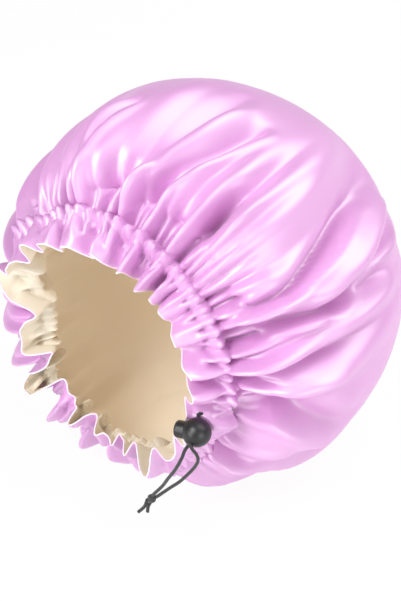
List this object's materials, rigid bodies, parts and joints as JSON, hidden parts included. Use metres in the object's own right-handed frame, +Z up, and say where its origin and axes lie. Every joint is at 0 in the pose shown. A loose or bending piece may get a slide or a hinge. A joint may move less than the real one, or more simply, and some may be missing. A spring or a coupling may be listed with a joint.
{
  "type": "hair bonnet",
  "caption": "Puffed double-layer satin hair bonnet with a gathered casing, ruffled frill, elastic drawcord and a spring ball cord lock.",
  "frame": {"origin": "middle of the flattened patch that the bonnet rests on as it lies on its side", "axes": "+Z up from the surface it lies on; -Y is the way the opening faces, +Y the crown; +X to the right seen from in front of the opening"},
  "size_m": [0.2744, 0.2652, 0.2607],
  "materials": {
    "outer_satin": "orchid-pink satin, glossy face, soft broad highlights",
    "lining_satin": "cream satin, glossy face",
    "elastic_cord": "black braided cover over a rubber core",
    "lock_plastic": "black moulded plastic, satin",
    "spring_steel": "bright drawn wire"
  },
  "bodies": {
    "bonnet": {"outer_crown": "outer_satin", "lining_crown": "lining_satin", "outer_band": "outer_satin", "lining_band": "lining_satin", "drawcord_in_casing": "elastic_cord", "cord_feed_left": "elastic_cord", "cord_feed_right": "elastic_cord", "cord_leg_left": "elastic_cord", "cord_leg_right": "elastic_cord", "cord_knot": "elastic_cord", "cord_tail_left": "elastic_cord", "cord_tail_right": "elastic_cord"},
    "cord_lock": {"cord_lock_body": "lock_plastic", "cord_lock_spring": "spring_steel"},
    "lock_button": {"cord_lock_plunger": "lock_plastic"}
  },
  "joints": [
    {"name": "lock_slide", "type": "slide", "parent": "bonnet", "child": "cord_lock", "axis": [0.2506, -0.9023, -0.3509], "range_m": [0, 0.02], "deforming": ["cord_feed_left", "cord_feed_right", "cord_leg_left", "cord_leg_right"]},
    {"name": "plunger_press", "type": "slide", "parent": "cord_lock", "child": "lock_button", "axis": [0.9679, 0.2269, 0.108], "range_m": [0, 0.003], "stiffness_N_per_m": 400, "springref_m": -0.002, "deforming": ["cord_lock_spring"]}
  ]
}
